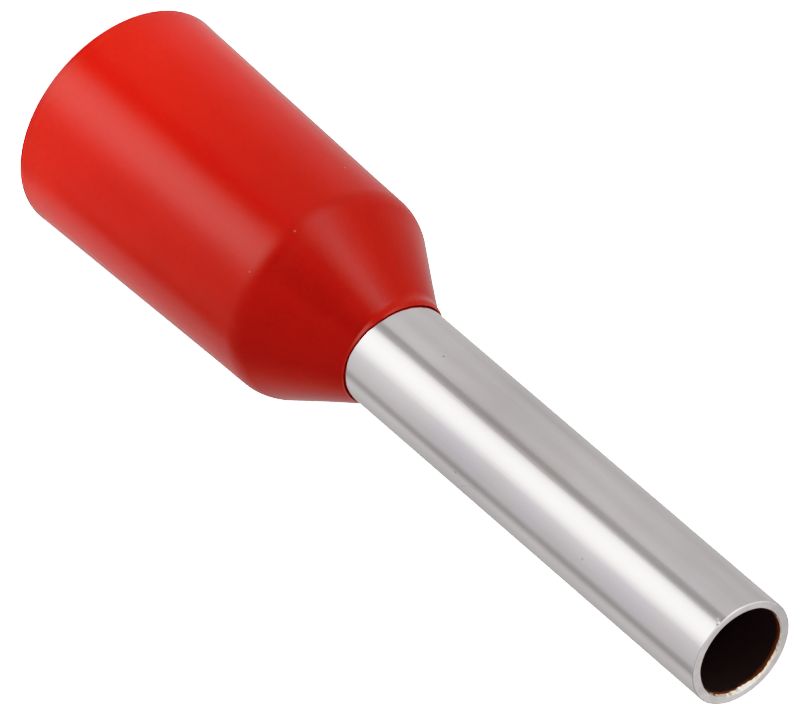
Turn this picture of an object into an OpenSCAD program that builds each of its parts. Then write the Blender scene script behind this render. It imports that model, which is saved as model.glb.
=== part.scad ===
// Insulated wire ferrule: a thin tinned copper sleeve with a flared rear end,
// held in a one-piece moulded plastic collar. Both pieces are bodies of
// revolution about the Z axis. The ferrule stands on the rim of the collar's
// mouth, and the open end of the sleeve points up.

/* [Sleeve] */
// Outside diameter of the metal sleeve
sleeve_od = 1.7; // [1.64:0.01:1.74]
// Wall thickness of the metal sleeve
sleeve_wall = 0.15; // [0.1:0.01:0.2]
// Length of sleeve that stands out of the collar
sleeve_out = 7.88; // [4:0.01:14]
// Rounding of the open end's outer edge
sleeve_edge = 0.02; // [0.005:0.005:0.04]

/* [Flare] */
// Outside diameter of the sleeve's flared rear end, inside the collar
flare_d = 2.4; // [2.1:0.05:2.6]
// Bend radius between the straight tube and the flare
flare_bend = 0.35; // [0.2:0.05:0.5]

/* [Collar] */
// Outside diameter of the collar at its mouth
mouth_d = 3.71; // [3.6:0.01:3.9]
// Outside diameter of the collar where its body meets the cone
shoulder_d = 3.434; // [3.38:0.002:3.5]
// Length of the tapered body, from the mouth to the cone
body_len = 5.01; // [4.9:0.01:5.15]
// Half angle of the cone, in degrees
cone_angle = 29.5; // [29:0.1:30.5]
// Rounding between the body and the cone
shoulder_r = 0.4; // [0.1:0.05:0.8]
// Diameter of the bore that takes the wire's insulation
bore_d = 3; // [2.8:0.02:3.1]
// Wall thickness of the cone, square to its surface
cone_wall = 0.3; // [0.22:0.01:0.34]
// Rounding of the mouth's outer edge
rim_outer_r = 0.04; // [0.01:0.01:0.08]
// Rounding of the mouth's inner edge
rim_inner_r = 0.12; // [0.02:0.02:0.16]

/* [Lip] */
// Overall length of the collar, from its mouth to the tip of its lip
collar_len = 6.59; // [6.56:0.01:6.7]
// Wall of the lip where the cone runs into it
lip_wall = 0.08; // [0.07:0.01:0.12]
// Width of the lip's flat front face, before its edge is rounded
lip_face = 0.04; // [0.035:0.005:0.05]
// Rounding of the lip's front edge
lip_r = 0.03; // [0.01:0.005:0.035]
// Gap between neck and sleeve at the lip, from the mould's draft
neck_gap = 0.01; // [0.005:0.005:0.02]

/* [Hidden] */
$fn = 96;

sleeve_r = sleeve_od / 2;
sleeve_len_top = collar_len + sleeve_out;
// the cone's outer line starts at the shoulder and falls at cone_angle
k = tan(cone_angle);
lip_wall_r = sleeve_r + lip_wall;
lip_z = body_len + (shoulder_d / 2 - lip_wall_r) / k;
// the funnel inside runs parallel to the cone, one wall thickness in
funnel_in = cone_wall / cos(cone_angle);
funnel_z0 = body_len - (bore_d / 2 - shoulder_d / 2 + funnel_in) / k;
neck_z = body_len + (shoulder_d / 2 - funnel_in - sleeve_r) / k;
// end of the flare, on the funnel's line
flare_z = neck_z - (flare_d / 2 - sleeve_r) / k;
neck_in_z = neck_z - sleeve_wall * tan(cone_angle / 2);

// Unit vector along v
function unit(v) = v / norm(v);

// Corner p, between its neighbours a and b, rounded to radius r in n steps
function round_corner(a, p, b, r, n) =
    r <= 0 ? [p] :
    let (
        u = unit(a - p),
        w = unit(b - p),
        half = acos(u * w) / 2,
        t = r / tan(half),
        c = p + unit(u + w) * r / sin(half),
        s = p + u * t,
        e = p + w * t,
        a0 = atan2(s[1] - c[1], s[0] - c[0]),
        a1 = atan2(e[1] - c[1], e[0] - c[0]),
        d = (a1 - a0 + 540) % 360 - 180
    )
    [for (i = [0:n]) c + r * [cos(a0 + d * i / n), sin(a0 + d * i / n)]];

// Closed profile from rows of [radius, height, rounding, steps]
function profile(rows) =
    let (m = len(rows))
    [for (i = [0:m - 1])
        let (
            a = rows[(i + m - 1) % m],
            p = rows[i],
            b = rows[(i + 1) % m]
        )
        each round_corner([a[0], a[1]], [p[0], p[1]], [b[0], b[1]], p[2], p[3])];

// Moulded collar: tapered body, shoulder, cone and lip outside; wire bore,
// funnel and neck inside. The neck sits on the sleeve at its lower end and
// opens by a hair towards the lip
module collar() {
    color([0.80, 0.09, 0.05])
        rotate_extrude()
            polygon(profile([
                [mouth_d / 2, 0, rim_outer_r, 4],
                [shoulder_d / 2, body_len, shoulder_r, 8],
                [lip_wall_r, lip_z, 0, 1],
                [sleeve_r + neck_gap + lip_face, collar_len, lip_r, 4],
                [sleeve_r + neck_gap, collar_len, 0, 1],
                [sleeve_r, neck_z, flare_bend, 6],
                [bore_d / 2, funnel_z0, 0, 1],
                [bore_d / 2, 0, rim_inner_r, 5]
            ]));
}

// Tinned copper sleeve: straight drawn tube, bent outwards at its rear end
// to lie against the collar's funnel, and cut square at its open end
module sleeve() {
    color([0.80, 0.79, 0.78])
        rotate_extrude()
            polygon(profile([
                [sleeve_r, sleeve_len_top, sleeve_edge, 3],
                [sleeve_r - sleeve_wall, sleeve_len_top, 0, 1],
                [sleeve_r - sleeve_wall, neck_in_z, flare_bend + sleeve_wall, 6],
                [flare_d / 2 - sleeve_wall * cos(cone_angle), flare_z - sleeve_wall * sin(cone_angle), 0, 1],
                [flare_d / 2, flare_z, 0, 1],
                [sleeve_r, neck_z, flare_bend, 6]
            ]));
}

collar();
sleeve();
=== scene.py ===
import math

import bpy
import numpy as np
from mathutils import Matrix, Vector


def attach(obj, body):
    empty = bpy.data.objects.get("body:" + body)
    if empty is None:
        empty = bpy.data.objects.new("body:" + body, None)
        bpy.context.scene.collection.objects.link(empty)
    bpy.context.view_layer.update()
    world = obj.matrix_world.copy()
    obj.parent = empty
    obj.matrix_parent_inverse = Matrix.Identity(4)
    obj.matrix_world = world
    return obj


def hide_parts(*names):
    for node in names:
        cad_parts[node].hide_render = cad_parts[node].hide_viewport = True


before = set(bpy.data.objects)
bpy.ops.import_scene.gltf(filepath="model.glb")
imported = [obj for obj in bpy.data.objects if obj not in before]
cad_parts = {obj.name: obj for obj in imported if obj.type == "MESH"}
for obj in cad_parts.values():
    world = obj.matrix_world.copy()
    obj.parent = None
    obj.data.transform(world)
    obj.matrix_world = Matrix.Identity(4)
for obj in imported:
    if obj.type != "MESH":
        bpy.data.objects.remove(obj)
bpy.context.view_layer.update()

# Insulated wire ferrule, standing on the mouth of its collar, +Z towards the open end of the sleeve.
# Lengths in the shape tables are millimetres, and MM turns them into metres.
# Angles round the axis: 0 faces the camera (-Y), and positive angles turn towards +X.
MM = 0.001
scene = bpy.context.scene

# ---------------------------------------------------------------------------
# Camera
# ---------------------------------------------------------------------------
def unit(v):
    return v / np.linalg.norm(v)


def make_camera():
    back, height = 117.574, 94.622            # camera's distance from the axis, and its height
    pan, tilt, roll = math.radians(-0.3121), math.radians(-0.2617), math.radians(-40.767)
    place = np.array([0.0, -back, height])
    ahead = unit(np.array([0.0, 0.0, 8.0]) - place)
    up = np.array([0.0, 0.0, 1.0])
    along = unit(up - ahead * (up @ ahead))   # the object's axis, as the camera sees it
    across = np.cross(ahead, along)
    right = math.cos(roll) * along + math.sin(roll) * across
    down = np.cross(ahead, right)
    ahead = unit(ahead + math.tan(pan) * right + math.tan(tilt) * down)
    right = unit(right - ahead * (right @ ahead))
    down = np.cross(ahead, right)
    data = bpy.data.cameras.new("camera")
    data.lens = 463.0
    data.sensor_width = 36.0
    data.clip_start = 0.01
    data.clip_end = 5.0
    cam = bpy.data.objects.new("camera", data)
    scene.collection.objects.link(cam)
    m = Matrix.Identity(4)
    for row in range(3):
        m[row][0], m[row][1], m[row][2] = right[row], -down[row], -ahead[row]
        m[row][3] = place[row] * MM
    cam.matrix_world = m
    scene.camera = cam


make_camera()

# ---------------------------------------------------------------------------
# Turned shapes: a closed section, sampled finely, swept round the axis
# ---------------------------------------------------------------------------
TURNS = 480
PHI = np.linspace(-math.pi, math.pi, TURNS, endpoint=False)
DEG = np.degrees(PHI)


def around(table):
    """A smooth periodic curve through (degrees, value) pairs, sampled at every angle of the mesh."""
    a = np.array([p[0] for p in table], float)
    v = np.array([p[1] for p in table], float)
    a = np.concatenate([a - 360, a, a + 360])
    v = np.concatenate([v, v, v])
    line = np.interp(DEG, a, v)
    width = 9                                  # smoothing window, in mesh steps
    k = np.hanning(2 * width + 1)
    k /= k.sum()
    pad = np.concatenate([line[-width:], line, line[:width]])
    return np.convolve(pad, k, mode="valid")


def ripple(seed, low, high, amount):
    """Seeded unevenness round the axis: cycles per turn between low and high, and its standard size."""
    rng = np.random.default_rng(seed)
    total = np.zeros(TURNS)
    for n in range(low, high):
        total += rng.normal() * np.cos(n * PHI + rng.uniform(0, 2 * math.pi)) / math.sqrt(n)
    return total / total.std() * amount


def hump(centre, half_width):
    """A smooth bump of height 1 at an angle, in degrees."""
    d = (DEG - centre + 180) % 360 - 180
    return np.exp(-(d / half_width) ** 2)


class Section:
    """Rings of a turned shape, in order along its closed section."""

    def __init__(self):
        self.rings, self.slots = [], []
        self.lean = 0.0                            # sideways shift where the sleeve leaves the collar, towards +X

    def add(self, r, z, slot=0):
        self.rings.append((np.broadcast_to(np.asarray(r, float), (TURNS,)), np.broadcast_to(np.asarray(z, float), (TURNS,))))
        self.slots.append(slot)

    def line(self, r0, z0, r1, z1, count, slot=0, ease=False):
        """count rings from just after the first point up to the second; ease gathers them at both ends."""
        for k in range(1, count + 1):
            t = k / count
            if ease:
                t = 0.5 - 0.5 * math.cos(math.pi * t)
            self.add(np.asarray(r0) + (np.asarray(r1) - np.asarray(r0)) * t, np.asarray(z0) + (np.asarray(z1) - np.asarray(z0)) * t, slot)

    def corner(self, a, b, c, radius, count, slot=0):
        """An arc that rounds the corner at b between the walls to a and c."""
        pa, pb, pc = (np.stack([np.broadcast_to(np.asarray(q[0], float), (TURNS,)), np.broadcast_to(np.asarray(q[1], float), (TURNS,))]) for q in (a, b, c))
        u, v = pa - pb, pc - pb
        u = u / np.linalg.norm(u, axis=0)
        v = v / np.linalg.norm(v, axis=0)
        half = 0.5 * np.arccos(np.clip((u * v).sum(0), -1, 1))
        back = radius / np.tan(half)
        mid = pb + (u + v) / np.linalg.norm(u + v, axis=0) * (radius / np.sin(half))
        s, e = pb + u * back - mid, pb + v * back - mid
        sweep = np.arccos(np.clip((s * e).sum(0) / radius**2, -1, 1))
        for k in range(count + 1):
            t = k / count
            p = mid + (s * np.sin((1 - t) * sweep) + e * np.sin(t * sweep)) / np.sin(sweep)
            self.add(p[0], p[1], slot)

    def mesh(self, name, materials):
        n = len(self.rings)
        r = np.array([q[0] for q in self.rings])
        z = np.array([q[1] for q in self.rings])
        lean = self.lean * np.clip((z - 6.15) / 0.25, 0.0, 1.0) * (1 - np.clip((z - 6.5) / 7.5, 0.0, 1.0))
        co = np.stack([r * np.sin(PHI) + lean, -r * np.cos(PHI), z], axis=-1) * MM
        i = np.arange(TURNS)
        j = np.arange(n)
        jj, ii = np.meshgrid(j, i, indexing="ij")
        j2, i2 = (jj + 1) % n, (ii + 1) % TURNS
        quads = np.stack([jj * TURNS + ii, jj * TURNS + i2, j2 * TURNS + i2, j2 * TURNS + ii], axis=-1).reshape(-1, 4)
        me = bpy.data.meshes.new(name)
        me.vertices.add(n * TURNS)
        me.vertices.foreach_set("co", co.astype(np.float32).ravel())
        me.loops.add(len(quads) * 4)
        me.loops.foreach_set("vertex_index", quads.astype(np.int32).ravel())
        me.polygons.add(len(quads))
        me.polygons.foreach_set("loop_start", np.arange(0, len(quads) * 4, 4, dtype=np.int32))
        me.polygons.foreach_set("use_smooth", np.ones(len(quads), bool))
        for m in materials:
            me.materials.append(m)
        slots = np.array([self.slots[(k + 1) % n] for k in range(n)], np.int32)
        me.polygons.foreach_set("material_index", np.repeat(slots, TURNS))
        me.update(calc_edges=True)
        me.validate()
        # outward faces, from the sign of the enclosed volume
        tri = np.concatenate([quads[:, [0, 1, 2]], quads[:, [0, 2, 3]]])
        volume = np.einsum("ij,ij->i", co.reshape(-1, 3)[tri[:, 0]], np.cross(co.reshape(-1, 3)[tri[:, 1]], co.reshape(-1, 3)[tri[:, 2]])).sum()
        if volume < 0:
            me.flip_normals()
        ob = bpy.data.objects.new(name, me)
        scene.collection.objects.link(ob)
        return ob


# ---------------------------------------------------------------------------
# Material helpers
# ---------------------------------------------------------------------------
class Nodes:
    def __init__(self, name, world=False):
        if world:
            self.owner = bpy.data.worlds.new(name)
        else:
            self.owner = bpy.data.materials.new(name)
        self.owner.use_nodes = True
        self.tree = self.owner.node_tree
        self.tree.nodes.clear()

    def new(self, kind, **values):
        node = self.tree.nodes.new(kind)
        for key, value in values.items():
            if hasattr(node, key):
                setattr(node, key, value)
            else:
                node.inputs[key].default_value = value
        return node

    def link(self, a, b):
        self.tree.links.new(a, b)

    def put(self, socket, value):
        if isinstance(value, bpy.types.NodeSocket):
            self.link(value, socket)
        else:
            socket.default_value = value

    def math(self, op, a, b=0.0, c=None, clamp=False):
        node = self.new("ShaderNodeMath", operation=op, use_clamp=clamp)
        self.put(node.inputs[0], a)
        self.put(node.inputs[1], b)
        if c is not None:
            self.put(node.inputs[2], c)
        return node.outputs[0]

    def remap(self, value, a, b, c, d, kind="LINEAR"):
        node = self.new("ShaderNodeMapRange", interpolation_type=kind)
        self.put(node.inputs["Value"], value)
        for key, v in zip(("From Min", "From Max", "To Min", "To Max"), (a, b, c, d)):
            node.inputs[key].default_value = v
        return node.outputs["Result"]

    def ramp(self, value, stops, kind="LINEAR"):
        node = self.new("ShaderNodeValToRGB")
        ramp = node.color_ramp
        ramp.interpolation = kind
        while len(ramp.elements) < len(stops):
            ramp.elements.new(0.5)
        for e, (p, c) in zip(ramp.elements, stops):
            e.position = p
            e.color = (*c, 1.0) if hasattr(c, "__len__") else (c, c, c, 1.0)
        self.put(node.inputs["Fac"], value)
        return node.outputs["Color"]

    def noise(self, vector, scale, detail=3.0, rough=0.5, stretch=None):
        if stretch is not None:
            m = self.new("ShaderNodeMapping")
            m.inputs["Scale"].default_value = stretch
            self.put(m.inputs["Vector"], vector)
            vector = m.outputs["Vector"]
        node = self.new("ShaderNodeTexNoise")
        self.put(node.inputs["Vector"], vector)
        node.inputs["Scale"].default_value = scale
        node.inputs["Detail"].default_value = detail
        node.inputs["Roughness"].default_value = rough
        return node.outputs["Fac"]

    def spot(self, where, angle, z, r, size):
        """1 at a point on the turned surface (degrees, mm, mm), fading to 0 at size mm from it."""
        node = self.new("ShaderNodeVectorMath", operation="DISTANCE")
        self.link(where, node.inputs[0])
        a = math.radians(angle)
        node.inputs[1].default_value = (r * math.sin(a) * MM, -r * math.cos(a) * MM, z * MM)
        return self.remap(node.outputs["Value"], 0.45 * size * MM, size * MM, 1.0, 0.0, "SMOOTHSTEP")

    def arc(self, where, centre, radius, width):
        """1 on the curve where a sphere (mm) cuts the surface, fading to 0 at width mm from it."""
        node = self.new("ShaderNodeVectorMath", operation="DISTANCE")
        self.link(where, node.inputs[0])
        node.inputs[1].default_value = tuple(c * MM for c in centre)
        off = self.math("ABSOLUTE", self.math("SUBTRACT", node.outputs["Value"], radius * MM))
        return self.remap(off, 0.0, width * MM, 1.0, 0.0, "SMOOTHSTEP")

    def window(self, value, a, b, c, d):
        """Rises from 0 at a to 1 at b, and falls from 1 at c to 0 at d."""
        return self.math("MULTIPLY", self.remap(value, a, b, 0.0, 1.0, "SMOOTHSTEP"), self.remap(value, c, d, 1.0, 0.0, "SMOOTHSTEP"))

    def tone(self, base, factor):
        """base multiplied by a grey value."""
        node = self.new("ShaderNodeVectorMath", operation="SCALE")
        self.link(base, node.inputs[0])
        self.put(node.inputs["Scale"], factor)
        return node.outputs[0]

    def round_angle(self, xyz):
        """Degrees round the axis, 0 towards -Y, positive towards +X."""
        return self.math("MULTIPLY", self.math("ARCTAN2", xyz.outputs[0], self.math("MULTIPLY", xyz.outputs[1], -1.0)), 180.0 / math.pi)

    def mix(self, fac, a, b, blend="MIX"):
        node = self.new("ShaderNodeMix", data_type="RGBA", blend_type=blend)
        self.put(node.inputs[0], fac)
        self.put(node.inputs[6], a if isinstance(a, bpy.types.NodeSocket) else (*a, 1.0))
        self.put(node.inputs[7], b if isinstance(b, bpy.types.NodeSocket) else (*b, 1.0))
        return node.outputs[2]


def plastic():
    n = Nodes("collar_plastic")
    where = n.new("ShaderNodeTexCoord").outputs["Object"]
    xyz = n.new("ShaderNodeSeparateXYZ")
    n.link(where, xyz.inputs[0])
    angle = n.round_angle(xyz)
    z = n.math("DIVIDE", xyz.outputs[2], MM)
    cloud = n.noise(where, 900.0, 3.0, 0.55)
    grain = n.noise(where, 16000.0, 2.0, 0.6)
    flow = n.noise(where, 5200.0, 3.0, 0.6, stretch=(1.0, 1.0, 0.12))
    base = n.mix(n.remap(cloud, 0.35, 0.65, 0.0, 1.0), (0.507, 0.0065, 0.0026), (0.547, 0.0078, 0.0032))
    base = n.mix(n.remap(flow, 0.3, 0.7, 0.0, 0.24), base, (0.44, 0.006, 0.002))
    # darker in a narrow band down the front of the cone
    cone = n.remap(z, 4.95, 5.15, 0.0, 1.0, "SMOOTHSTEP")
    front = n.math("MULTIPLY", n.window(angle, -9.0, 4.0, 6.0, 18.0), cone)
    base = n.tone(base, n.remap(front, 0.0, 1.0, 1.0, 0.91))
    # painted light and shade: the colour is paler on the side the light comes from and darker on the other, and darker
    # towards the shoulder and up the cone, where the light falls off
    side = n.math("MULTIPLY", n.remap(angle, -28.0, 6.0, 0.0, 1.0, "SMOOTHSTEP"), n.remap(angle, 100.0, 140.0, 1.0, 0.0, "SMOOTHSTEP"))
    cone_painted_shade = n.math("MULTIPLY", n.remap(side, 0.0, 1.0, 1.035, 0.965), n.remap(z, 5.2, 6.4, 1.03, 0.95))
    body_painted_shade = n.math("MULTIPLY", n.remap(n.window(angle, 12.0, 40.0, 60.0, 88.0), 0.0, 1.0, 1.0, 0.955), n.remap(z, 2.6, 4.8, 1.0, 0.965))
    base = n.tone(base, n.math("ADD", n.math("MULTIPLY", cone_painted_shade, cone), n.math("MULTIPLY", body_painted_shade, n.math("SUBTRACT", 1.0, cone))))
    # painted light: a little paler towards the right flank, more so near the shoulder
    painted_light_flank = n.math("MULTIPLY", n.window(angle, 54.0, 80.0, 116.0, 145.0), n.remap(z, 1.0, 4.5, 0.3, 1.0))
    base = n.tone(base, n.remap(painted_light_flank, 0.0, 1.0, 1.0, 1.15))
    base = n.tone(base, n.remap(grain, 0.3, 0.7, 0.962, 1.038))
    # a few specks of dust, and one dark one
    dust = n.math("ADD", n.spot(where, -63.5, 4.29, 1.737, 0.026), n.math("ADD", n.spot(where, -13.5, 5.03, 1.70, 0.024), n.spot(where, 15.5, 4.90, 1.722, 0.022)), clamp=True)
    base = n.mix(n.math("MULTIPLY", dust, 0.30), base, (0.75, 0.32, 0.22))
    base = n.mix(n.math("MULTIPLY", n.spot(where, -108.0, 5.47, 1.463, 0.035), 0.8), base, (0.10, 0.012, 0.01))
    bsdf = n.new("ShaderNodeBsdfPrincipled")
    n.link(base, bsdf.inputs["Base Color"])
    bsdf.inputs["IOR"].default_value = 1.44
    rough = n.math("ADD", n.remap(cloud, 0.3, 0.7, 0.17, 0.22), n.remap(grain, 0.3, 0.7, -0.02, 0.02))
    rough = n.math("MINIMUM", n.math("ADD", rough, n.math("MULTIPLY", n.window(z, 4.35, 4.92, 5.08, 5.45), 0.06)), 0.26)      # rubbed matter along the shoulder
    n.link(rough, bsdf.inputs["Roughness"])
    bump = n.new("ShaderNodeBump")
    bump.inputs["Strength"].default_value = 0.35
    bump.inputs["Distance"].default_value = 0.000004
    height = n.math("ADD", grain, n.math("MULTIPLY", flow, 1.5))
    n.link(height, bump.inputs["Height"])
    n.link(bump.outputs[0], bsdf.inputs["Normal"])
    out = n.new("ShaderNodeOutputMaterial")
    n.link(bsdf.outputs[0], out.inputs["Surface"])
    return n.owner


def tin():
    n = Nodes("tinned_copper")
    where = n.new("ShaderNodeTexCoord").outputs["Object"]
    xyz = n.new("ShaderNodeSeparateXYZ")
    n.link(where, xyz.inputs[0])
    angle = n.round_angle(xyz)
    z = n.math("DIVIDE", xyz.outputs[2], MM)
    lines = n.noise(where, 14000.0, 4.0, 0.65, stretch=(1.0, 1.0, 0.012))
    fine = n.noise(where, 42000.0, 2.0, 0.6, stretch=(1.0, 1.0, 0.03))
    grain = n.noise(where, 30000.0, 2.0, 0.6)
    cloud = n.noise(where, 1400.0, 3.0, 0.55)
    broad = n.noise(where, 3200.0, 2.0, 0.5, stretch=(1.0, 1.0, 0.10))
    base = n.mix(n.remap(cloud, 0.3, 0.7, 0.0, 1.0), (0.885, 0.848, 0.850), (0.898, 0.872, 0.888))
    base = n.mix(n.remap(lines, 0.55, 0.8, 0.0, 0.35), base, (0.80, 0.772, 0.785))
    # painted light and shade along the sleeve, partly uneven tin: paler near the collar and darker further along, most
    # of all near the middle
    tone = n.ramp(n.remap(z, 6.0, 14.5, 0.0, 1.0), [(0.0, 1.0), (0.19, 1.0), (0.29, 0.935), (0.37, 0.88), (0.46, 0.905), (0.58, 0.935), (0.75, 0.925), (1.0, 0.93)])
    base = n.mix(1.0, base, tone, "MULTIPLY")
    base = n.tone(base, n.remap(broad, 0.3, 0.7, 1.005, 1.095))
    # faint bluish stains on the front
    side = n.window(angle, 14.0, 22.0, 40.0, 47.0)
    along = n.math("ADD", n.window(z, 8.3, 8.6, 9.4, 9.75), n.math("ADD", n.window(z, 10.3, 10.45, 10.7, 10.9), n.window(z, 12.2, 12.6, 13.2, 13.6)))
    base = n.mix(n.math("MULTIPLY", n.math("MULTIPLY", side, along), 0.55), base, (0.845, 0.835, 0.885))
    # specks and two hairline scratches
    dots = n.math("ADD", n.spot(where, -30.0, 7.80, 0.854, 0.024), n.math("ADD", n.spot(where, 55.0, 9.10, 0.854, 0.026), n.spot(where, 32.0, 11.90, 0.854, 0.020)), clamp=True)
    base = n.mix(n.math("MULTIPLY", dots, 0.6), base, (0.36, 0.33, 0.31))
    first = n.math("MULTIPLY", n.arc(where, (0.850, 0.022, 9.65), 0.55, 0.012), n.window(z, 8.9, 9.0, 9.55, 9.62))
    second = n.math("MULTIPLY", n.arc(where, (0.842, 0.118, 10.25), 0.50, 0.010), n.window(z, 9.6, 9.7, 10.10, 10.18))
    scratch = n.math("MULTIPLY", n.math("ADD", first, second, clamp=True), n.window(angle, 50.0, 56.0, 84.0, 92.0))
    base = n.mix(n.math("MULTIPLY", scratch, 0.35), base, (0.55, 0.53, 0.52))
    bsdf = n.new("ShaderNodeBsdfPrincipled")
    n.link(base, bsdf.inputs["Base Color"])
    bsdf.inputs["Metallic"].default_value = 1.0
    rough = n.math("ADD", n.remap(lines, 0.3, 0.7, 0.14, 0.20), n.remap(grain, 0.3, 0.7, -0.02, 0.02))
    n.link(rough, bsdf.inputs["Roughness"])
    bump = n.new("ShaderNodeBump")
    bump.inputs["Strength"].default_value = 0.32
    bump.inputs["Distance"].default_value = 0.0000022
    height = n.math("ADD", n.math("MULTIPLY", lines, 1.0), n.math("MULTIPLY", fine, 0.5))
    height = n.math("ADD", height, n.math("MULTIPLY", grain, 0.4))
    height = n.math("ADD", height, n.math("MULTIPLY", broad, 2.0))
    height = n.math("SUBTRACT", height, n.math("MULTIPLY", scratch, 1.0))
    n.link(height, bump.inputs["Height"])
    n.link(bump.outputs[0], bsdf.inputs["Normal"])
    out = n.new("ShaderNodeOutputMaterial")
    n.link(bsdf.outputs[0], out.inputs["Surface"])
    return n.owner


def cut_metal():
    """The sheared end of the tube: tin smeared over copper, matter than the wall."""
    n = Nodes("cut_end")
    where = n.new("ShaderNodeTexCoord").outputs["Object"]
    grain = n.noise(where, 26000.0, 3.0, 0.6)
    cloud = n.noise(where, 7000.0, 3.0, 0.6)
    xyz = n.new("ShaderNodeSeparateXYZ")
    n.link(where, xyz.inputs[0])
    angle = n.round_angle(xyz)
    base = n.mix(n.remap(cloud, 0.42, 0.62, 0.0, 1.0), (0.585, 0.572, 0.578), (0.66, 0.633, 0.628))
    # darker over one side of the end face and paler over the other
    base = n.tone(base, n.remap(n.window(angle, -165.0, -125.0, -92.0, -60.0), 0.0, 1.0, 1.0, 0.89))
    base = n.tone(base, n.remap(n.window(angle, 100.0, 135.0, 160.0, 180.0), 0.0, 1.0, 1.0, 1.09))
    bsdf = n.new("ShaderNodeBsdfPrincipled")
    n.link(base, bsdf.inputs["Base Color"])
    bsdf.inputs["Metallic"].default_value = 1.0
    n.link(n.remap(grain, 0.3, 0.7, 0.30, 0.42), bsdf.inputs["Roughness"])
    bump = n.new("ShaderNodeBump")
    bump.inputs["Strength"].default_value = 0.35
    bump.inputs["Distance"].default_value = 0.000003
    n.link(grain, bump.inputs["Height"])
    n.link(bump.outputs[0], bsdf.inputs["Normal"])
    out = n.new("ShaderNodeOutputMaterial")
    n.link(bsdf.outputs[0], out.inputs["Surface"])
    return n.owner


def torn_edge():
    """The inner edge, where the cut tore bright copper and tin over into the bore."""
    n = Nodes("torn_edge")
    where = n.new("ShaderNodeTexCoord").outputs["Object"]
    cloud = n.noise(where, 9000.0, 3.0, 0.6)
    grain = n.noise(where, 30000.0, 3.0, 0.6)
    base = n.mix(n.remap(cloud, 0.40, 0.62, 0.0, 1.0), (0.96, 0.90, 0.80), (0.93, 0.78, 0.60))
    bsdf = n.new("ShaderNodeBsdfPrincipled")
    n.link(base, bsdf.inputs["Base Color"])
    bsdf.inputs["Metallic"].default_value = 1.0
    n.link(n.remap(grain, 0.3, 0.7, 0.16, 0.30), bsdf.inputs["Roughness"])
    bump = n.new("ShaderNodeBump")
    bump.inputs["Strength"].default_value = 0.3
    bump.inputs["Distance"].default_value = 0.000003
    n.link(grain, bump.inputs["Height"])
    n.link(bump.outputs[0], bsdf.inputs["Normal"])
    out = n.new("ShaderNodeOutputMaterial")
    n.link(bsdf.outputs[0], out.inputs["Surface"])
    return n.owner


def bore_metal():
    """The bore: bare brown copper just inside the cut, then near black further in as painted shade."""
    n = Nodes("bore_copper")
    where = n.new("ShaderNodeTexCoord").outputs["Object"]
    xyz = n.new("ShaderNodeSeparateXYZ")
    n.link(where, xyz.inputs[0])
    cloud = n.noise(where, 5000.0, 3.0, 0.6)
    lines = n.noise(where, 12000.0, 3.0, 0.6, stretch=(1.0, 1.0, 0.02))
    depth = n.math("SUBTRACT", 14.47, n.math("DIVIDE", xyz.outputs[2], MM))
    # painted shade: the colour fades to near black with depth, where the bore lies in shadow
    painted_depth_shade = n.remap(n.math("ADD", depth, n.remap(cloud, 0.3, 0.7, -0.02, 0.02)), 0.055, 0.115, 0.0, 1.0, "SMOOTHSTEP")
    base = n.mix(painted_depth_shade, (0.30, 0.115, 0.045), (0.027, 0.044, 0.048))
    bsdf = n.new("ShaderNodeBsdfPrincipled")
    n.link(base, bsdf.inputs["Base Color"])
    bsdf.inputs["Metallic"].default_value = 0.35
    n.link(n.remap(lines, 0.3, 0.7, 0.42, 0.55), bsdf.inputs["Roughness"])
    out = n.new("ShaderNodeOutputMaterial")
    n.link(bsdf.outputs[0], out.inputs["Surface"])
    return n.owner


# ---------------------------------------------------------------------------
# Collar: one moulded piece
# ---------------------------------------------------------------------------
def cone_r(z):
    return 1.724 - 0.5658 * (np.asarray(z) - 5.01)


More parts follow.
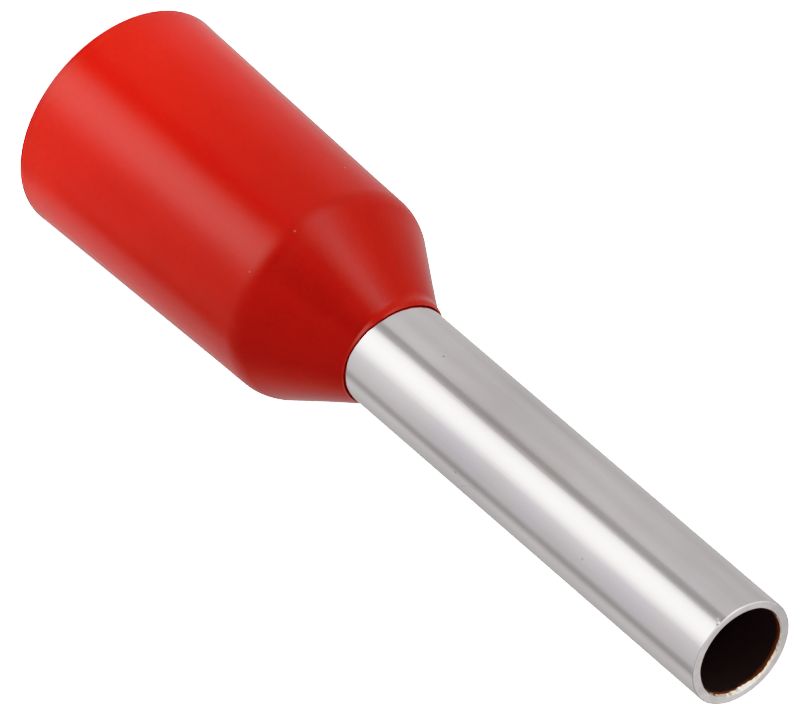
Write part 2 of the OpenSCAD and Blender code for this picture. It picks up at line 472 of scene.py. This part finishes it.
def make_collar():
    s = Section()
    # the lip stands up at one side and fades into the cone at the other
    lip_top = around([(-165, 6.58), (-120, 6.605), (-100, 6.63), (-80, 6.648), (-60, 6.65), (-45, 6.642), (-30, 6.632), (-15, 6.608), (0, 6.577), (15, 6.55), (30, 6.52), (60, 6.51), (100, 6.512), (150, 6.55)])
    break_r = around([(-165, 0.905), (-120, 0.920), (-90, 0.926), (-60, 0.918), (-45, 0.908), (-30, 0.897), (-15, 0.887), (0, 0.881), (15, 0.882), (30, 0.886), (60, 0.888), (120, 0.893)])
    wall_r = around([(-165, 0.896), (-120, 0.905), (-90, 0.910), (-60, 0.905), (-45, 0.898), (-30, 0.890), (-15, 0.883), (0, 0.879), (15, 0.880), (30, 0.883), (60, 0.885), (120, 0.888)])
    bevel = around([(-165, 0.040), (-120, 0.080), (-90, 0.085), (-60, 0.070), (-45, 0.055), (-30, 0.036), (-15, 0.020), (0, 0.010), (15, 0.006), (60, 0.006), (120, 0.010)])
    crest_r = around([(-165, 0.880), (-120, 0.874), (-90, 0.873), (-60, 0.877), (-30, 0.877), (0, 0.876), (15, 0.877), (30, 0.880), (60, 0.882), (120, 0.882)])
    neck = around([(-165, 0.873), (-120, 0.867), (-90, 0.866), (-60, 0.870), (-30, 0.871), (0, 0.870), (15, 0.871), (30, 0.8745), (60, 0.8765), (120, 0.8765)])
    blend = around([(-165, 0.14), (-120, 0.26), (-60, 0.28), (-45, 0.25), (-30, 0.20), (-15, 0.14), (0, 0.08), (15, 0.04), (30, 0.02), (90, 0.02), (120, 0.05)])
    soft = around([(-165, 0.02), (-120, 0.035), (-60, 0.035), (-30, 0.022), (-15, 0.014), (0, 0.008), (15, 0.004), (90, 0.004), (120, 0.006)])
    lip_top = lip_top + ripple(11, 5, 40, 0.0020)
    break_z = 5.01 + (1.724 - break_r) / 0.5658
    # mouth rim, outer edge
    s.corner((1.6, 0), (1.868, 0), (1.8615, 0.2), 0.014, 6)
    s.line(1.8665, 0.05, 1.8600, 0.2, 4)
    s.line(1.8600, 0.2, 1.7476, 4.2, 32)
    s.corner((1.7476, 4.2), (1.730, 5.027), (cone_r(5.8), 5.8), 0.65, 24)
    s.line(cone_r(5.8), 5.8, cone_r(break_z - 0.07), break_z - 0.07, 16)
    s.corner((cone_r(5.2), 5.2), (break_r, break_z), (wall_r, lip_top - bevel), blend, 10)
    s.corner((break_r, break_z), (wall_r, lip_top - bevel), (crest_r, lip_top), soft, 6)
    s.corner((wall_r, lip_top - bevel), (crest_r, lip_top), (0.84, lip_top), 0.0035, 5)
    s.corner((wall_r, lip_top), (neck, lip_top), (neck - 0.006, lip_top - 0.05), 0.0018, 4)
    s.line(neck - 0.0012, lip_top - 0.008, 0.8625, lip_top - 0.06, 5)
    s.line(0.8625, lip_top - 0.06, 0.8615, 6.40, 3)
    s.line(0.8615, 6.40, 0.8565, 6.12, 6)
    s.corner((0.86, 6.59), (0.85, 5.933), (1.5, 4.784), 0.35, 12)
    s.line(1.045, 5.588, 1.497, 4.79, 14)
    s.add(1.5, 4.784)
    s.line(1.5, 4.784, 1.5, 0.16, 30, ease=True)
    s.corner((1.5, 4.784), (1.5, 0), (1.855, 0), 0.12, 8)
    s.line(1.63, 0.0, 1.83, 0.0, 4)
    return s.mesh("collar_moulding", [plastic()])


# ---------------------------------------------------------------------------
# Sleeve: one drawn tube, flared at the end the collar holds
# ---------------------------------------------------------------------------
def make_sleeve():
    s = Section()
    top = 14.467 + ripple(21, 2, 14, 0.0012)
    far = around([(-180, 1.0), (-152, 1.0), (-138, 0.3), (-110, 0.1), (-80, 0.0), (70, 0.0), (80, 0.4), (90, 1.0)])
    rough = np.abs(ripple(31, 10, 44, 1.0))
    # bevel at the inner edge: steep where the cutter left it, torn and shallow at the far side
    drop = around([(-180, 0.012), (-168, 0.018), (-150, 0.024), (-135, 0.015), (-120, 0.012), (-105, 0.016), (-90, 0.030), (-75, 0.060), (-60, 0.12), (48, 0.12), (60, 0.06), (70, 0.022), (88, 0.022), (105, 0.026), (120, 0.028), (135, 0.034), (150, 0.050), (158, 0.046), (165, 0.032), (173, 0.016)])
    drop = drop + far * 0.011 * rough
    inner = around([(-180, 0.732), (-150, 0.724), (-135, 0.714), (-105, 0.716), (-90, 0.720), (-75, 0.730), (-60, 0.739), (-30, 0.746), (10, 0.744), (45, 0.734), (60, 0.719), (75, 0.714), (90, 0.720), (105, 0.724), (120, 0.728), (150, 0.742), (165, 0.740)]) + far * 0.003 * ripple(32, 12, 60, 1.0)
    nick = hump(-6.5, 1.3)
    bead = hump(-11.0, 1.2)
    wall = 0.856
    outer = wall - 0.005 * nick
    # flare, outside
    s.corner((1.0694, 5.2405), (1.2, 5.314), (0.85, 5.933), 0.02, 4)
    s.line(1.18, 5.349, 1.03, 5.614, 8)
    s.corner((1.2, 5.314), (0.85, 5.933), (0.85, 14.0), 0.35, 10)
    s.line(0.85, 6.14, 0.854, 6.45, 6)
    s.line(0.854, 6.45, wall, 6.70, 5)
    s.line(wall, 6.70, wall, 14.28, 42)
    s.add(wall, 14.33)
    s.add(wall + 0.0010 * bead, 14.355)
    s.add(wall + 0.0024 * bead, 14.38)
    s.add(wall + 0.0010 * bead, 14.405)
    s.add(wall - 0.001 * nick, 14.425)
    edge = 0.022 + 0.002 * nick
    for k in range(9):
        a = math.pi / 2 * k / 8
        s.add(outer - edge + edge * math.cos(a), top - edge + edge * math.sin(a), 1 if k > 5 else 0)
    speck = hump(173, 2.2)
    s.line(outer - edge, top, inner + 0.012, top, 10, slot=1)
    s.corner((0.80, top), (inner, top), (0.70, top - drop), 0.006, 3, slot=1)
    s.line(inner - (inner - 0.70) * 0.15, top - drop * 0.15, 0.70 - 0.012 * speck, top - drop, 8, slot=3)
    s.line(0.70 - 0.004 * speck, top - drop - 0.010, 0.70, 14.30, 8, slot=2)
    s.line(0.70, 14.30, 0.70, 6.14, 40, slot=2)
    s.corner((0.70, 14.0), (0.70, 5.8936), (1.0694, 5.2405), 0.5, 12, slot=2)
    s.line(0.83, 5.663, 1.06, 5.257, 8, slot=2)
    # the sleeve comes out of the collar a hair to one side
    s.lean = 0.005
    return s.mesh("sleeve_tube", [tin(), cut_metal(), bore_metal(), torn_edge()])


collar = make_collar()
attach(collar, "root")
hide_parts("collar")

sleeve = make_sleeve()
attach(sleeve, "root")
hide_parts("sleeve")


# ---------------------------------------------------------------------------
# Floor and backdrop
# ---------------------------------------------------------------------------
def disc(name, radius, height, rings=8, turns=96):
    verts = [(0.0, 0.0, height)]
    faces = []
    for k in range(1, rings + 1):
        for t in range(turns):
            a = 2 * math.pi * t / turns
            verts.append((radius * k / rings * math.cos(a), radius * k / rings * math.sin(a), height))
    for t in range(turns):
        faces.append((0, 1 + t, 1 + (t + 1) % turns))
    for k in range(rings - 1):
        for t in range(turns):
            a, b = 1 + k * turns + t, 1 + k * turns + (t + 1) % turns
            faces.append((a, a + turns, b + turns, b))
    me = bpy.data.meshes.new(name)
    me.from_pydata(verts, [], faces)
    me.update()
    ob = bpy.data.objects.new(name, me)
    scene.collection.objects.link(ob)
    return ob


def floor_material():
    n = Nodes("floor_white")
    where = n.new("ShaderNodeTexCoord").outputs["Object"]
    cloud = n.noise(where, 40.0, 2.0, 0.5)
    bsdf = n.new("ShaderNodeBsdfPrincipled")
    n.link(n.mix(cloud, (0.80, 0.80, 0.80), (0.82, 0.82, 0.82)), bsdf.inputs["Base Color"])
    bsdf.inputs["Roughness"].default_value = 0.9
    bsdf.inputs["Specular IOR Level"].default_value = 0.0
    bsdf.inputs["Emission Color"].default_value = (1.0, 1.0, 1.0, 1.0)
    bsdf.inputs["Emission Strength"].default_value = 4.0
    out = n.new("ShaderNodeOutputMaterial")
    n.link(bsdf.outputs[0], out.inputs["Surface"])
    return n.owner


floor = disc("studio_floor", 0.45, 0.0)
floor.data.materials.append(floor_material())
# the room's light reaches the object from below as well, so the floor only shows, and catches the shadow
floor.visible_diffuse = False
floor.visible_glossy = False
floor.visible_transmission = False
floor.visible_shadow = False


def dome(name, radius, rings=24, turns=96):
    """A plain white backdrop round the floor."""
    verts = [(0.0, 0.0, radius)]
    faces = []
    for k in range(1, rings + 1):
        b = math.radians(100.0) * k / rings
        for t in range(turns):
            a = 2 * math.pi * t / turns
            verts.append((radius * math.sin(b) * math.cos(a), radius * math.sin(b) * math.sin(a), radius * math.cos(b)))
    for t in range(turns):
        faces.append((0, 1 + (t + 1) % turns, 1 + t))
    for k in range(rings - 1):
        for t in range(turns):
            a, b = 1 + k * turns + t, 1 + k * turns + (t + 1) % turns
            faces.append((a, b, b + turns, a + turns))
    me = bpy.data.meshes.new(name)
    me.from_pydata(verts, [], faces)
    me.update()
    ob = bpy.data.objects.new(name, me)
    scene.collection.objects.link(ob)
    return ob


backdrop = dome("studio_backdrop", 0.48)
backdrop.data.materials.append(floor.data.materials[0])
backdrop.visible_diffuse = False
backdrop.visible_glossy = False
backdrop.visible_transmission = False
backdrop.visible_shadow = False


def table_light(radius, radiance):
    """Soft light that the table throws back up on to the object."""
    data = bpy.data.lights.new("table_bounce", "AREA")
    data.shape = "DISK"
    data.size = 2 * radius
    data.energy = 4 * math.pi * radius**2 * radiance
    ob = bpy.data.objects.new("table_bounce", data)
    ob.location = (0.0, 0.0, -0.0002)
    ob.rotation_euler = (math.pi, 0.0, 0.0)
    ob.visible_camera = False
    ob.visible_glossy = False
    data.cycles.use_multiple_importance_sampling = False      # keeps it out of the gloss altogether
    scene.collection.objects.link(ob)


table_light(0.0078, 1.62)

# ---------------------------------------------------------------------------
# Light: a soft room, told by direction
# ---------------------------------------------------------------------------
def turn(az):
    """An azimuth in degrees as the ramp's position."""
    return az / 360.0 + 0.5


def make_world():
    n = Nodes("studio", world=True)
    d = n.new("ShaderNodeTexCoord").outputs["Generated"]
    xyz = n.new("ShaderNodeSeparateXYZ")
    n.link(d, xyz.inputs[0])
    x, y, z = xyz.outputs
    az = n.math("ARCTAN2", x, n.math("MULTIPLY", y, -1.0))
    f = n.math("MULTIPLY_ADD", az, 1 / (2 * math.pi), 0.5)
    low = n.ramp(f, [
        (turn(-180), 0.51), (turn(-158), 0.52), (turn(-136), 0.515), (turn(-122), 0.485), (turn(-106), 0.54), (turn(-92), 0.55), (turn(-70), 0.51), (turn(-50), 0.555), (turn(-33), 0.57), (turn(-29), 0.34), (turn(-18), 0.34),
        (turn(-11), 0.85), (turn(-2), (2.0, 1.86, 1.80)), (turn(10), (2.60, 2.42, 2.28)), (turn(22), (2.15, 2.00, 1.92)), (turn(32), (1.22, 1.17, 1.15)), (turn(42), (0.73, 0.725, 0.74)), (turn(62), (0.60, 0.595, 0.615)), (turn(87), 0.525),
        (turn(95), 0.33), (turn(103), 0.33), (turn(110), 0.55), (turn(120), 0.585), (turn(132), 0.52), (turn(160), 0.44), (turn(180), 0.50)])
    mid = n.ramp(f, [
        (turn(-180), 0.42), (turn(-141), 0.42), (turn(-120), 0.49), (turn(-95), 0.49), (turn(-78), 0.60), (turn(-62), 1.05), (turn(-50), 1.85), (turn(-40), 1.45), (turn(-24), 0.37), (turn(-8), 0.30),
        (turn(10), 0.25), (turn(30), 0.34), (turn(80), 0.34), (turn(97), 0.27), (turn(112), 0.31), (turn(128), 0.33), (turn(150), 0.35), (turn(180), 0.42)])
    high = n.mix(n.remap(x, -0.6, 0.6, 0.0, 1.0, "SMOOTHSTEP"), (1.27, 1.25, 1.24), (0.74, 0.735, 0.74))
    t1 = n.remap(z, -0.52, 0.06, 0.0, 1.0, "SMOOTHSTEP")
    t2 = n.remap(z, 0.40, 0.56, 0.0, 1.0, "SMOOTHSTEP")
    col = n.mix(t1, low, mid)
    col = n.mix(t2, col, high)
    bg = n.new("ShaderNodeBackground")
    n.link(col, bg.inputs["Color"])
    bg.inputs["Strength"].default_value = 1.0
    out = n.new("ShaderNodeOutputWorld")
    n.link(bg.outputs[0], out.inputs["Surface"])
    scene.world = n.owner
    n.owner.cycles.sampling_method = "MANUAL"
    n.owner.cycles.sample_map_resolution = 1024


make_world()

scene.view_settings.view_transform = "Standard"
scene.view_settings.look = "None"
scene.view_settings.exposure = 0.0
scene.view_settings.gamma = 1.0
# a soft shoulder, so that highlights on the metal roll off instead of clipping
scene.view_settings.use_curve_mapping = True
shoulder = scene.view_settings.curve_mapping
WHITE = 3.5
shoulder.white_level = (WHITE, WHITE, WHITE)
line = shoulder.curves[3]
for x, y in ((0.50, 0.50), (0.63, 0.61), (0.75, 0.70), (0.90, 0.77), (1.10, 0.83), (1.30, 0.87), (1.60, 0.905), (2.00, 0.94), (2.40, 0.962), (3.00, 0.985)):
    line.points.new(x / WHITE, y)
# saturated reds lose a little green and blue, while near-black stays neutral
for channel, toe, loss in ((1, 0.0043, 0.0130), (2, 0.0040, 0.0170)):
    shoulder.curves[channel].points.new(1 / 256, toe / WHITE)
    shoulder.curves[channel].points.new(2 / 256, 2 / 256 - loss / WHITE)
for curve in shoulder.curves:
    for p in curve.points:
        p.handle_type = "VECTOR"
shoulder.update()
